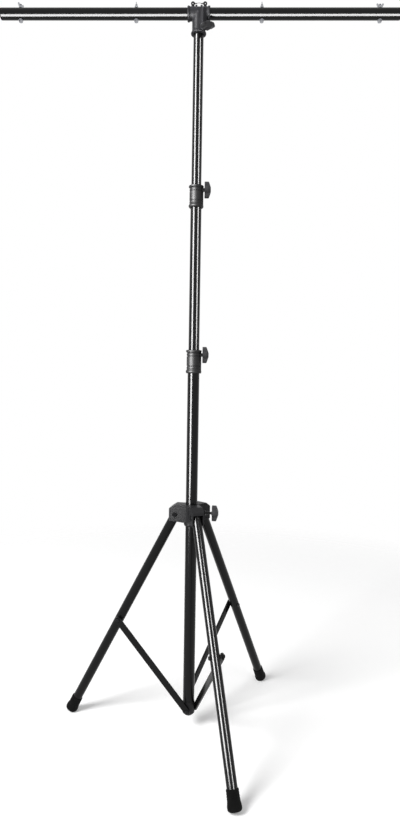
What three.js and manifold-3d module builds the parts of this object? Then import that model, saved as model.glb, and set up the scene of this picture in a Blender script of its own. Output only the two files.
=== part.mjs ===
// A portable lighting stand: a folding tripod, a telescopic mast and a T-bar to hang lamps from.
// Millimetres, +Z up. The mast stands on the Z axis and the feet rest on the plane z = 0.
import * as THREE from 'three';
import { mergeVertices } from 'three/addons/utils/BufferGeometryUtils.js';
import Module from 'manifold-3d';

const wasm = await Module();
wasm.setup();

// Pieces that touch are drawn this far apart, and cuts run past the faces that they open
const fitGap = 0.3;
const cutOverrun = 4;

// Mast tubes, each sliding in the one below it
const mainTubeDiameter = 35;
const tubeWall = 1.2;
const middleTubeDiameter = mainTubeDiameter - 2 * (tubeWall + fitGap);
const topTubeDiameter = middleTubeDiameter - 2 * (tubeWall + fitGap);
const mainTubeLength = 1048;
const middleTubeLength = 1076;
const topTubeLength = 1138;
const middleTubeShown = 413;
const topTubeShown = 424;

// Guide plugs in the lower ends of the two sliding tubes
const guideRim = 6;
const guideDepth = 20;
const guideWall = 3;

// Base hub at the foot of the main tube, where the three braces are pivoted
const hubFloorGap = 40;
const hubHeight = 44;
const hubSpigotLength = 36;
const hubCornerRadius = 18.7;
const hubEdgeRadius = 7;
const hubPivotRise = 18;

// Legs: tube, spread and pivot, measured in the upright plane through the mast and the leg
const legDiameter = 28.6;
const legSpread = 27.2;
const legReach = 740;
const legPivotRadius = 47.7;
const legHeadAbovePivot = 15;
const legAzimuths = { left: 180, back: 60, front: -60 };

// Rubber feet
const footLength = 50;
const footTopDiameter = 33.6;
const footBottomDiameter = 38;
const footEdgeRadius = 6;
const footWorn = 0.8;
const footFloor = 8;
const footWaistShare = 0.55;

// Braces: flat-oval bars beside the legs, on bolts
const legToBrace = 383.6;
const braceWidth = 20;
const braceThickness = 7;
const braceEdge = 2;
const braceHubClearance = 0.9;
const braceOffset = mainTubeDiameter / 2 + braceHubClearance;
const braceBoltDiameter = 6;
const braceBoltHeadDiameter = 12;
const braceBoltHeadHeight = 4;
const hubBoltReach = 12;
const braceSpacerDiameter = 12;

// Leg housing: a moulded sleeve with three lobes that straddle the leg heads
const housingTopAbovePivot = 31;
const housingSleeveDiameter = 45;
const housingSkirtBelowPivot = 35;
const housingSkirtTaper = 5;
const lobeBelowPivot = 21;
const lobeRootDrop = 2.5;
const lobeRootWidth = 46;
const lobeReach = 66;
const lobeWallThickness = 3.3;
const lobeSideGap = 0.9;
const lobeRoof = 3;
const lobeChamferWidth = 18;
const lobeChamferHeight = 12;
const lobeCornerRadius = 5;
const lobeEndWallAbovePivot = 10;
const lobePanelInset = 5;
const lobePanelDepth = 0.8;
const legPinDiameter = 8;
const legPinHeadDiameter = 13;
const legPinHeadHeight = 4.5;
const legNutHeight = 5;
const housingBossDiameter = 16;
const housingBossReach = 44;
const housingKnobReach = 63.4;
const housingKnobAbovePivot = 7;

// Clamp collars on the mast
const collarTopAboveTube = 27;
const lowerCollarHeight = 70;
const lowerCollarDiameter = 42;
const lowerCollarScrewDrop = 15;
const upperCollarHeight = 64;
const upperCollarDiameter = 39;
const upperCollarScrewDrop = 12;
const collarFlangeStep = 2.2;
const collarGrooveDepth = 1.1;
const collarBossWidth = 12;
const collarBossStep = 1.4;
const collarKnobAzimuth = 10;

// Clamp knobs: two rounded wings on a hub, moulded round a threaded stud
const knobSpan = 48;
const knobWingWidth = 13;
const knobWingDepth = 12;
const knobDepth = 18.5;
const knobHubDiameter = 23;
const knobDomeDiameter = 12;
const knobNeckDiameter = 10.5;
const knobNeckLength = 3;
const knobNeckSunk = 1;
const knobEdgeRadius = 2;
const knobShoulderRadius = 4;
const studDiameter = 8;
const studInKnob = 11;

// T fitting on the top tube
const headTurn = 9.7;
const headSleeveDiameter = 38;
const headSleeveDrop = 58;
const headFlareDiameter = 44;
const headFlareHeight = 9;
const headSocketWall = 2.2;
const barSleeveLength = 65;
const barSleeveWall = 2;
const barFlangeDiameter = 41;
const barFlangeWidth = 6.5;
const barFlangeEdge = 1.2;
const barStopThickness = 4;
const headKnobAzimuth = -37;
const headScrewAboveRim = 11;
const headBossWidth = 16;
const headBossReach = 27;
const headKnobReach = 32;
const headKnobRoll = 108;

// Crossbar in two halves, plugged into the T fitting
const barDiameter = 32;
const barHalfLength = 568;
const capRim = 2.4;
const capDepth = 16;
const capWall = 2.5;
const capEdge = 1.2;
const hangerInnerOffset = 180;
const hangerEndInset = 55.3;

// Hanger bolts with wing nuts
const hangerBoltDiameter = 6;
const hangerHeadFlats = 10;
const hangerHeadHeight = 5;
const hangerWasherDiameter = 14;
const hangerWasherThickness = 1.6;
const hangerBoltStandOut = 11.5;
const wingNutBaseDiameter = 11.5;
const wingNutTopDiameter = 9;
const wingNutHubHeight = 6;
const wingNutSpan = 21;
const wingNutHeight = 12.5;
const wingNutBlade = 2.2;
const wingNutLobeRadius = 2.8;
const wingNutRolls = { left_outer: 60, left_inner: 95, right_inner: 85, right_outer: 0 };

// Ring-headed lock pins, one for each half of the crossbar, joined by a short wire
const pinOffset = 17.5;
const pinDiameter = 5.5;
const pinRingAboveBar = 29;
const pinRingRadius = 4.4;
const pinRingWire = 1.5;
const pinBelowBarTop = 9;
const pinBossDiameter = 10;
const pinBossHeight = 3.4;
const stopLugOffset = 7.5;
const stopLugLength = 6;
const stopLugHeight = 4.4;
const stopLugWidth = 12;
const tetherDiameter = 1.3;
const tetherLoopRadius = 3.1;
const tetherBow = 1.6;
const tetherCrimpDiameter = 2.8;
const tetherCrimpLength = 3.4;

// How many flats stand for a round surface
const mastSides = 24;
const legSides = 16;
const boltSides = 12;
const holeSides = 12;
const wireSides = 5;
const ringSides = 12;
const arcSides = 4;
const cornerSides = 2;
const tetherSteps = 8;

// Worked-out sizes
const radians = THREE.MathUtils.degToRad;
const spread = radians(legSpread);
const legDown = new THREE.Vector2(Math.sin(spread), -Math.cos(spread));
const legOut = new THREE.Vector2(Math.cos(spread), Math.sin(spread));
const footEdgeSwing = (footBottomDiameter / 2 - footEdgeRadius) * Math.sin(spread);
const footEndZ = footEdgeRadius + footEdgeSwing - footEdgeRadius * Math.cos(spread) - footWorn;
const pivotZ = footEndZ + legReach * Math.cos(spread);
const pivot = new THREE.Vector2(legPivotRadius, pivotZ);
const mainTubeBottomZ = hubFloorGap + hubHeight;
const mainTubeTopZ = mainTubeBottomZ + mainTubeLength;
const lowerCollarTopZ = mainTubeTopZ + collarTopAboveTube;
const upperCollarTopZ = lowerCollarTopZ + middleTubeShown + upperCollarHeight;
const middleTubeTopZ = upperCollarTopZ - collarTopAboveTube;
const headRimZ = upperCollarTopZ + topTubeShown;
const barAxisZ = headRimZ + headSleeveDrop;
const barBoreRadius = barDiameter / 2 + fitGap;
const barSleeveRadius = barBoreRadius + barSleeveWall;
const topTubeTopZ = barAxisZ - barBoreRadius - headSocketWall - fitGap;
const mainBoreRadius = mainTubeDiameter / 2 + fitGap;
const barStartX = barStopThickness / 2 + fitGap;
const hangerOffsets = { inner: hangerInnerOffset, outer: barStartX + barHalfLength - hangerEndInset };
const housingTopZ = pivotZ + housingTopAbovePivot;
const lobeHalfWidth = legDiameter / 2 + lobeSideGap + lobeWallThickness;

// Finishes
function finish(colour, roughness, metalness) {
  return new THREE.MeshStandardMaterial({ color: colour, roughness, metalness });
}
const glossBlack = () => finish(0x0d0d0e, 0.2, 0.3);
const moulding = () => finish(0x36363a, 0.62, 0);
const knobPlastic = () => finish(0x1b1b1d, 0.5, 0);
const rubber = () => finish(0x101011, 0.85, 0);
const zinc = () => finish(0xb4b7bb, 0.32, 1);
const blackSteel = () => finish(0x1c1c1e, 0.4, 0.8);

// A closed surface as a solid, with its shared points merged and its faces turned outwards
function solid(geometry) {
  const bare = geometry.index ? geometry.toNonIndexed() : geometry.clone();
  bare.deleteAttribute('normal');
  bare.deleteAttribute('uv');
  const merged = mergeVertices(bare, fitGap / 1000);
  const points = merged.attributes.position.array;
  const corner = (i) => new THREE.Vector3().fromArray(points, 3 * i);
  const faces = [];
  let volume = 0;
  for (let i = 0; i < merged.index.count; i += 3) {
    const [a, b, c] = merged.index.array.slice(i, i + 3);
    if (a === b || b === c || c === a) continue;
    faces.push(a, b, c);
    volume += corner(a).dot(corner(b).cross(corner(c)));
  }
  if (volume < 0) faces.reverse();
  const vertProperties = new Float32Array(points);
  const triVerts = new Uint32Array(faces);
  return new wasm.Manifold(new wasm.Mesh({ numProp: 3, vertProperties, triVerts }));
}

function joined(...pieces) {
  return pieces.reduce((whole, piece) => whole.add(piece));
}

function without(whole, ...cutters) {
  return cutters.reduce((rest, cutter) => rest.subtract(cutter), whole);
}

function geometryOf(manifold) {
  const { vertProperties, triVerts } = manifold.getMesh();
  const geometry = new THREE.BufferGeometry();
  geometry.setAttribute('position', new THREE.BufferAttribute(new Float32Array(vertProperties), 3));
  geometry.setIndex(new THREE.BufferAttribute(new Uint32Array(triVerts), 1));
  const flat = geometry.toNonIndexed();
  flat.computeVertexNormals();
  return flat;
}

function named(name, manifold, material) {
  const mesh = new THREE.Mesh(geometryOf(manifold), material);
  mesh.name = name;
  return mesh;
}

// A profile of [radius, height] points turned about the Z axis
function turned(profile, sides) {
  const points = profile.map(([r, z]) => new THREE.Vector2(r, z));
  const lathe = new THREE.LatheGeometry(points, sides);
  lathe.rotateX(Math.PI / 2);
  return lathe;
}

// The same profile turned about the X axis, its heights running along +X
function turnedAlongX(profile, sides) {
  return turned(profile, sides).rotateY(Math.PI / 2);
}

function ring(innerRadius, outerRadius, low, high, sides) {
  const profile = [
    [innerRadius, low], [outerRadius, low], [outerRadius, high], [innerRadius, high], [innerRadius, low],
  ];
  return turned(profile, sides);
}

function rod(radius, low, high, sides) {
  return turned([[0, low], [radius, low], [radius, high], [0, high]], sides);
}

function rodAlongX(radius, low, high, sides) {
  return rod(radius, low, high, sides).rotateY(Math.PI / 2);
}

// A rod along Y, across the plane of a leg
function crossRod(radius, low, high, sides) {
  return rod(radius, low, high, sides).rotateX(-Math.PI / 2);
}

// An outline of [x, y, corner radius] points, each corner rounded by its radius
function roundedOutline(corners) {
  const shape = new THREE.Shape();
  const at = (i) => corners[(i + corners.length) % corners.length];
  corners.forEach(([x, y, radius], i) => {
    const here = new THREE.Vector2(x, y);
    const before = new THREE.Vector2(at(i - 1)[0], at(i - 1)[1]).sub(here);
    const after = new THREE.Vector2(at(i + 1)[0], at(i + 1)[1]).sub(here);
    const half = Math.acos(before.dot(after) / (before.length() * after.length())) / 2;
    const set = Math.min(radius / Math.tan(half), before.length() / 2, after.length() / 2);
    const start = here.clone().addScaledVector(before.normalize(), set);
    const end = here.clone().addScaledVector(after.normalize(), set);
    if (i === 0) shape.moveTo(start.x, start.y);
    else shape.lineTo(start.x, start.y);
    if (radius > 0) shape.quadraticCurveTo(x, y, end.x, end.y);
  });
  shape.closePath();
  return shape;
}

// An outline drawn in the upright XZ plane, extruded between two places along Y
function plate(shape, near, far, curveSegments = arcSides) {
  const settings = { depth: far - near, bevelEnabled: false, curveSegments };
  const extruded = new THREE.ExtrudeGeometry(shape, settings);
  return extruded.rotateX(Math.PI / 2).translate(0, far, 0);
}

function boxBetween(low, high) {
  const size = high.map((value, i) => value - low[i]);
  const centre = high.map((value, i) => (value + low[i]) / 2);
  return new THREE.BoxGeometry(...size).translate(...centre);
}

// A slot-shaped outline round two points, such as a bar with rounded ends
function slotOutline(from, to, radius) {
  const along = Math.atan2(to.y - from.y, to.x - from.x);
  const shape = new THREE.Shape();
  shape.absarc(to.x, to.y, radius, along - Math.PI / 2, along + Math.PI / 2, false);
  shape.absarc(from.x, from.y, radius, along + Math.PI / 2, along + 3 * Math.PI / 2, false);
  shape.closePath();
  return shape;
}

// Places a piece drawn along +Z so that it runs down the leg from the pivot
function alongLeg(geometry) {
  return geometry.rotateY(Math.PI - spread).translate(pivot.x, 0, pivot.y);
}

function onLeg(distance) {
  return pivot.clone().addScaledVector(legDown, distance);
}

// Mast
function mainTube() {
  const radius = mainTubeDiameter / 2;
  const tube = solid(ring(radius - tubeWall, radius, mainTubeBottomZ, mainTubeTopZ, mastSides));
  return named('main_tube', tube, glossBlack());
}

function slidingTube(name, diameter, length, topZ) {
  const radius = diameter / 2;
  const tube = solid(ring(radius - tubeWall, radius, topZ - length, topZ, mastSides));
  return named(name, tube, glossBlack());
}

// A ring-shaped plug: its rim closes the wall of the tube and its spigot fills the bore
function guidePlug(name, diameter, bottomZ) {
  const rimRadius = diameter / 2;
  const spigotRadius = rimRadius - tubeWall - fitGap;
  const boreRadius = spigotRadius - guideWall;
  const rimTop = bottomZ - fitGap;
  const rimBottom = rimTop - guideRim;
  const spigotTop = bottomZ + guideDepth;
  const profile = [
    [boreRadius, rimBottom], [rimRadius, rimBottom], [rimRadius, rimTop],
    [spigotRadius, rimTop], [spigotRadius, spigotTop], [boreRadius, spigotTop], [boreRadius, rimBottom],
  ];
  return named(name, solid(turned(profile, mastSides)), moulding());
}

// Base hub: a plug in the main tube with three flats, one behind each brace
function baseHub() {
  const spigotRadius = mainTubeDiameter / 2 - tubeWall - fitGap;
  const top = mainTubeBottomZ - fitGap;
  const profile = [
    [0, hubFloorGap], [hubCornerRadius - hubEdgeRadius, hubFloorGap],
    [hubCornerRadius, hubFloorGap + hubEdgeRadius], [hubCornerRadius, top],
    [spigotRadius, top], [spigotRadius, mainTubeBottomZ + hubSpigotLength],
    [0, mainTubeBottomZ + hubSpigotLength],
  ];
  const flat = braceOffset - fitGap;
  const holeRadius = braceBoltDiameter / 2 + fitGap;
  const cuts = Object.values(legAzimuths).flatMap((azimuth) => {
    const slab = boxBetween(
      [-hubCornerRadius - cutOverrun, flat, hubFloorGap - cutOverrun],
      [hubCornerRadius + cutOverrun, hubCornerRadius + cutOverrun, top],
    );
    const hole = crossRod(holeRadius, flat - hubBoltReach - fitGap, flat + cutOverrun, holeSides);
    hole.translate(0, 0, hubFloorGap + hubPivotRise);
    return [slab, hole].map((piece) => solid(piece.rotateZ(radians(azimuth))));
  });
  return named('base_hub', without(solid(turned(profile, mastSides)), ...cuts), moulding());
}
const hubPivot = new THREE.Vector2(0, hubFloorGap + hubPivotRise);
const bracePivot = onLeg(legToBrace);

// Clamp collar: a ribbed sleeve that steps in from the outer tube to the inner one, with a screw boss
function collarProfile(diameter, height, topZ) {
  const body = diameter / 2;
  const flange = body + collarFlangeStep;
  const groove = body - collarGrooveDepth;
  const rowShares = [
    [body, 0], [flange, 0.05], [flange, 0.1], [groove, 0.19], [body, 0.21], [body, 0.27], [groove, 0.3],
    [body, 0.33], [body, 0.7], [groove, 0.735], [body, 0.77], [body, 0.82], [groove, 0.86], [flange, 0.92],
    [flange, 0.98], [body, 1],
  ];
  const outer = rowShares.map(([radius, share]) => [radius, topZ - height * (1 - share)]);
  return [[0, topZ - height], ...outer, [0, topZ]];
}

function clampCollar(name, { diameter, height, topZ, screwZ, outerTube, innerTube }) {
  const body = solid(turned(collarProfile(diameter, height, topZ), mastSides));
  const bossFace = diameter / 2 + collarBossStep;
  const bossBottom = topZ - height + collarBossWidth / 2;
  const bossOutline = slotOutline(
    new THREE.Vector2(0, screwZ), new THREE.Vector2(0, bossBottom), collarBossWidth / 2,
  );
  const boss = plate(bossOutline, -bossFace, 0).rotateZ(Math.PI / 2);
  const bore = rod(innerTube / 2 + fitGap, topZ - height - cutOverrun, topZ + cutOverrun, mastSides);
  const step = topZ - collarTopAboveTube + fitGap;
  const counterbore = rod(outerTube / 2 + fitGap, topZ - height - cutOverrun, step, mastSides);
  const screwHole = rodAlongX(studDiameter / 2 + fitGap, 0, bossFace + cutOverrun, holeSides);
  screwHole.translate(0, 0, screwZ);
  const turn = radians(collarKnobAzimuth);
  const shell = joined(body, solid(boss.rotateZ(turn)));
  const collar = without(shell, solid(bore), solid(counterbore), solid(screwHole.rotateZ(turn)));
  return named(name, collar, moulding());
}

// Clamp knob with its stud, drawn with the screw along +X and turned to its place round the mast
function knobSolid() {
  const tip = knobSpan / 2 - knobWingWidth / 2;
  const wings = slotOutline(new THREE.Vector2(0, tip), new THREE.Vector2(0, -tip), knobWingWidth / 2);
  const upright = (shape) => {
    const settings = { depth: knobDepth, bevelEnabled: false, curveSegments: arcSides };
    const extruded = new THREE.ExtrudeGeometry(shape, settings);
    return extruded.rotateX(Math.PI / 2).rotateZ(Math.PI / 2);
  };
  const hubProfile = [
    [0, 0], [knobHubDiameter / 2, 0], [knobHubDiameter / 2, knobWingDepth],
    [knobDomeDiameter / 2, knobDepth], [0, knobDepth],
  ];
  const half = knobSpan / 2;
  const side = roundedOutline([
    [0, -half, 0], [knobWingDepth, -half, knobEdgeRadius],
    [knobDepth, -knobDomeDiameter / 2, knobShoulderRadius],
    [knobDepth, knobDomeDiameter / 2, knobShoulderRadius],
    [knobWingDepth, half, knobEdgeRadius], [0, half, 0],
  ]);
  const blades = solid(upright(wings)).intersect(solid(plate(side, -knobSpan, knobSpan)));
  const neckRadius = knobNeckDiameter / 2;
  const neck = rodAlongX(neckRadius, -knobNeckLength, knobNeckSunk, boltSides);
  const holeRadius = studDiameter / 2 + fitGap;
  const hole = rodAlongX(holeRadius, -knobNeckLength - cutOverrun, studInKnob + fitGap, holeSides);
  const hub = turnedAlongX(hubProfile, ringSides);
  return without(joined(blades, solid(hub), solid(neck)), solid(hole));
}

function clampKnob(name, { azimuth, z, tipRadius, faceRadius, roll }) {
  const group = new THREE.Group();
  const knob = named(`${name}_knob`, knobSolid(), knobPlastic());
  knob.position.x = faceRadius;
  knob.rotation.x = radians(roll);
  const stud = [
    [0, tipRadius], [studDiameter / 2 - fitGap, tipRadius], [studDiameter / 2, tipRadius + 2 * fitGap],
    [studDiameter / 2, faceRadius + studInKnob], [0, faceRadius + studInKnob],
  ];
  group.add(knob, named(`${name}_stud`, solid(turnedAlongX(stud, boltSides)), zinc()));
  group.position.z = z;
  group.rotation.z = radians(azimuth);
  return group;
}

// Leg housing, drawn round the Z axis with its lobes turned to the legs
function lobeOutline(inset) {
  const reach = lobeReach - inset;
  const top = housingTopZ - inset;
  const chamfer = inset * Math.tan(Math.atan2(lobeChamferHeight, lobeChamferWidth) / 2);
  return [
    [reach, top - lobeChamferHeight - chamfer, lobeCornerRadius],
    [reach - lobeChamferWidth + chamfer, top, lobeCornerRadius],
    [0, top, 0],
  ];
}

function housingLobe() {
  const bottom = pivotZ - lobeBelowPivot;
  const outer = roundedOutline([
    [0, bottom - lobeRootDrop, 0], [housingSleeveDiameter / 2, bottom - lobeRootDrop, 0],
    [lobeRootWidth, bottom, 0], [lobeReach, bottom, lobeCornerRadius], ...lobeOutline(0),
  ]);
  return solid(plate(outer, -lobeHalfWidth, lobeHalfWidth, cornerSides));
}

function lobeHollow() {
  const below = pivotZ - lobeBelowPivot - lobeRootDrop - cutOverrun;
  const halfGap = lobeHalfWidth - lobeWallThickness;
  const start = housingSleeveDiameter / 2;
  const [rim, peak] = lobeOutline(lobeRoof);
  const inner = roundedOutline([
    [start, below, 0], [rim[0], below, 0], rim, peak, [start, peak[1], 0],
  ]);
  const mouth = boxBetween(
    [start, -halfGap, below], [lobeReach + cutOverrun, halfGap, pivotZ + lobeEndWallAbovePivot],
  );
  return joined(solid(plate(inner, -halfGap, halfGap, cornerSides)), solid(mouth));
}

// A shallow sunk panel on each face of a lobe, as moulded walls have
function lobePanels() {
  const inset = lobePanelInset;
  const bottom = pivotZ - lobeBelowPivot + inset;
  const [rim, peak] = lobeOutline(inset);
  const start = housingSleeveDiameter / 2 + inset;
  const outline = roundedOutline([
    [start, bottom, 0], [rim[0], bottom, lobeCornerRadius], rim, peak, [start, peak[1], 0],
  ]);
  const sunk = lobeHalfWidth - lobePanelDepth;
  const beyond = lobeHalfWidth + cutOverrun;
  return [plate(outline, sunk, beyond, cornerSides), plate(outline, -beyond, -sunk, cornerSides)];
}

function legHousing() {
  const sleeveRadius = housingSleeveDiameter / 2;
  const skirtBottom = pivotZ - housingSkirtBelowPivot;
  const profile = [
    [0, skirtBottom], [sleeveRadius - housingSkirtTaper / 2, skirtBottom],
    [sleeveRadius, skirtBottom + housingSkirtTaper], [sleeveRadius, housingTopZ], [0, housingTopZ],
  ];
  const screwZ = pivotZ + housingKnobAbovePivot;
  const bossProfile = [[0, 0], [housingBossDiameter / 2, 0], [housingBossDiameter / 2, housingBossReach],
    [0, housingBossReach]];
  const boss = turnedAlongX(bossProfile, boltSides).translate(0, 0, screwZ);
  const turns = Object.values(legAzimuths).map(radians);
  const about = (piece, angle) => piece.rotate([0, 0, THREE.MathUtils.radToDeg(angle)]);
  let whole = joined(solid(turned(profile, mastSides)), solid(boss));
  for (const turn of turns) whole = whole.add(about(housingLobe(), turn));
  const pinHoleRadius = legPinDiameter / 2 + fitGap;
  const pinReach = lobeHalfWidth + cutOverrun;
  const pinHole = () => solid(
    crossRod(pinHoleRadius, -pinReach, pinReach, holeSides).translate(pivot.x, 0, pivot.y),
  );
  for (const turn of turns) {
    const panels = lobePanels().map((panel) => about(solid(panel), turn));
    whole = without(whole, about(lobeHollow(), turn), about(pinHole(), turn), ...panels);
  }
  const bore = rod(mainBoreRadius, skirtBottom - cutOverrun, housingTopZ + cutOverrun, mastSides);
  const holeRadius = studDiameter / 2 + fitGap;
  const screwHole = rodAlongX(holeRadius, 0, housingBossReach + cutOverrun, holeSides);
  whole = without(whole, solid(bore), solid(screwHole.translate(0, 0, screwZ)));
  return named('leg_housing', whole, moulding());
}

// Fasteners across a leg's plane: a domed head, a plain shank and a hexagon or domed nut
function domedHead(radius, height, shankRadius, shankLow, shankHigh) {
  const shoulder = height / 2;
  const profile = [
    [0, shankLow], [shankRadius, shankLow], [shankRadius, shankHigh], [radius, shankHigh],
    [radius, shankHigh + shoulder], [radius - shoulder, shankHigh + height], [0, shankHigh + height],
  ];
  return turned(profile, boltSides).rotateX(-Math.PI / 2);
}

function hexNut(flats, boreRadius, low, high) {
  const across = new THREE.CylinderGeometry(flats / Math.sqrt(3), flats / Math.sqrt(3), high - low, 6);
  const prism = across.translate(0, (high + low) / 2, 0);
  return without(solid(prism), solid(crossRod(boreRadius, low - cutOverrun, high + cutOverrun, holeSides)));
}

// One leg with its foot, its pivot bolt and nut, its brace and the brace's bolts
function legTube() {
  const radius = legDiameter / 2;
  const foot = legReach - footFloor - fitGap;
  const tube = alongLeg(ring(radius - tubeWall, radius, -legHeadAbovePivot, foot, legSides));
  const reach = radius + cutOverrun;
  const pinHole = crossRod(legPinDiameter / 2 + fitGap, -reach, reach, holeSides);
  const braceHole = crossRod(braceBoltDiameter / 2 + fitGap, -reach, reach, holeSides);
  pinHole.translate(pivot.x, 0, pivot.y);
  braceHole.translate(bracePivot.x, 0, bracePivot.y);
  return without(solid(tube), solid(pinHole), solid(braceHole));
}

function footCap() {
  const topRadius = footTopDiameter / 2;
  const endRadius = footBottomDiameter / 2;
  const socket = legDiameter / 2 + fitGap;
  const start = legReach - footLength;
  const steps = [0, 1, 2, 3, 4].map((i) => i * Math.PI / 8);
  const edge = steps.map((angle) => [
    endRadius - footEdgeRadius * (1 - Math.cos(angle)), legReach - footEdgeRadius * (1 - Math.sin(angle)),
  ]);
  const waist = [topRadius, start + footLength * footWaistShare];
  const profile = [
    [socket, start], [topRadius - fitGap, start], waist, ...edge, [0, legReach],
    [0, legReach - footFloor], [socket, legReach - footFloor], [socket, start],
  ];
  const floorPlane = boxBetween(
    [0, -footBottomDiameter, -footBottomDiameter], [legReach, footBottomDiameter, 0],
  );
  return without(solid(alongLeg(turned(profile, legSides))), solid(floorPlane));
}

function braceBar() {
  const inner = braceWidth / 2 - braceEdge;
  const extruded = new THREE.ExtrudeGeometry(slotOutline(hubPivot, bracePivot, inner), {
    depth: braceThickness - 2 * braceEdge,
    bevelEnabled: true,
    bevelThickness: braceEdge,
    bevelSize: braceEdge,
    bevelSegments: 1,
    curveSegments: arcSides,
  });
  extruded.rotateX(Math.PI / 2).translate(0, braceOffset + braceThickness - braceEdge, 0);
  const hole = ({ x, y }) => {
    const low = braceOffset - cutOverrun;
    const high = braceOffset + braceThickness + cutOverrun;
    return solid(crossRod(braceBoltDiameter / 2 + fitGap, low, high, holeSides).translate(x, 0, y));
  };
  return without(solid(extruded), hole(hubPivot), hole(bracePivot));
}

function braceBolt(place, shankEnd) {
  const bolt = domedHead(
    braceBoltHeadDiameter / 2, braceBoltHeadHeight, braceBoltDiameter / 2,
    shankEnd, braceOffset + braceThickness + fitGap,
  );
  return solid(bolt.translate(place.x, 0, place.y));
}

// A stud through the leg: a spacer on the brace's side and a domed nut on the other
function braceStud() {
  const legRadius = legDiameter / 2;
  const spacer = crossRod(braceSpacerDiameter / 2, legRadius + fitGap, braceOffset - fitGap, boltSides);
  const stud = domedHead(
    braceBoltHeadDiameter / 2, braceBoltHeadHeight + fitGap, braceBoltDiameter / 2,
    -braceOffset + fitGap, legRadius + fitGap,
  ).rotateZ(Math.PI);
  return joined(...[spacer, stud].map((piece) => solid(piece.translate(bracePivot.x, 0, bracePivot.y))));
}

function legPin() {
  const shankRadius = legPinDiameter / 2;
  const face = lobeHalfWidth - lobePanelDepth + fitGap;
  const end = -face - legNutHeight - fitGap;
  const pin = domedHead(legPinHeadDiameter / 2, legPinHeadHeight, shankRadius, end, face);
  return solid(pin.translate(pivot.x, 0, pivot.y));
}

function legNut() {
  const face = lobeHalfWidth - lobePanelDepth + fitGap;
  const nut = hexNut(legPinHeadDiameter, legPinDiameter / 2 + fitGap, -face - legNutHeight, -face);
  return nut.translate([pivot.x, 0, pivot.y]);
}

function legAssembly(side, azimuth) {
  const group = new THREE.Group();
  const shankEnd = braceOffset - fitGap - hubBoltReach;
  group.add(
    named(`leg_tube_${side}`, legTube(), glossBlack()),
    named(`foot_cap_${side}`, footCap(), rubber()),
    named(`leg_pin_${side}`, legPin(), blackSteel()),
    named(`leg_nut_${side}`, legNut(), zinc()),
    named(`brace_${side}`, braceBar(), glossBlack()),
    named(`brace_upper_bolt_${side}`, braceBolt(bracePivot, braceOffset + fitGap), blackSteel()),
    named(`brace_stud_${side}`, braceStud(), zinc()),
    named(`brace_lower_bolt_${side}`, braceBolt(hubPivot, shankEnd), blackSteel()),
  );
  group.rotation.z = radians(azimuth);
  return group;
}

// T fitting, drawn with the crossbar along X and its axis at height zero
function headFitting() {
  const halfSleeve = barSleeveLength / 2;
  const flange = barFlangeDiameter / 2;
  const flangeStart = halfSleeve - barFlangeWidth;
  const half = [
    [barSleeveRadius, flangeStart - barFlangeEdge], [flange - barFlangeEdge, flangeStart],
    [flange, flangeStart + barFlangeEdge], [flange, halfSleeve - barFlangeEdge],
    [flange - barFlangeEdge, halfSleeve],
  ];
  const mirrored = half.map(([r, x]) => [r, -x]).reverse();
  const sleeve = turnedAlongX([[0, -halfSleeve], ...mirrored, ...half, [0, halfSleeve]], mastSides);
  const upright = [
    [0, -headSleeveDrop], [headFlareDiameter / 2 - barFlangeEdge, -headSleeveDrop],
    [headFlareDiameter / 2, -headSleeveDrop + barFlangeEdge],
    [headFlareDiameter / 2, -headSleeveDrop + headFlareHeight / 2],
    [headSleeveDiameter / 2, -headSleeveDrop + headFlareHeight], [headSleeveDiameter / 2, 0], [0, 0],
  ];
  const screwZ = -headSleeveDrop + headScrewAboveRim;
  const knobTurn = radians(headKnobAzimuth - headTurn);
  const boss = slotOutline(new THREE.Vector2(0, 0), new THREE.Vector2(0, screwZ), headBossWidth / 2);
  const bossPlate = plate(boss, -headBossReach, 0).rotateZ(Math.PI / 2 + knobTurn);
  const lug = (x) => boxBetween(
    [x - stopLugLength / 2, -stopLugWidth / 2, 0],
    [x + stopLugLength / 2, stopLugWidth / 2, barSleeveRadius + stopLugHeight],
  );
  const pinBossTop = barSleeveRadius + pinBossHeight;
  const pinBoss = (x) => rod(pinBossDiameter / 2, 0, pinBossTop, boltSides).translate(x, 0, 0);
  const outer = joined(
    solid(sleeve), solid(turned(upright, mastSides)), solid(bossPlate),
    ...[-1, 1].flatMap((side) => [solid(lug(side * stopLugOffset)), solid(pinBoss(side * pinOffset))]),
  );
  const stop = barStopThickness / 2;
  const socket = (side) => rodAlongX(barBoreRadius, stop, halfSleeve + cutOverrun, mastSides)
    .rotateZ(side > 0 ? 0 : Math.PI);
  const boreTop = topTubeTopZ - barAxisZ + fitGap;
  const bore = rod(topTubeDiameter / 2 + fitGap, -headSleeveDrop - cutOverrun, boreTop, mastSides);
  const studRadius = studDiameter / 2 + fitGap;
  const screwHole = rodAlongX(studRadius, 0, headBossReach + cutOverrun, holeSides)
    .translate(0, 0, screwZ)
    .rotateZ(knobTurn);
  const pinHole = (x) => rod(pinDiameter / 2 + fitGap, 0, pinBossTop + cutOverrun, holeSides)
    .translate(x, 0, 0);
  const cuts = [socket(1), socket(-1), bore, screwHole, pinHole(pinOffset), pinHole(-pinOffset)];
  return without(outer, ...cuts.map(solid));
}

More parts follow.
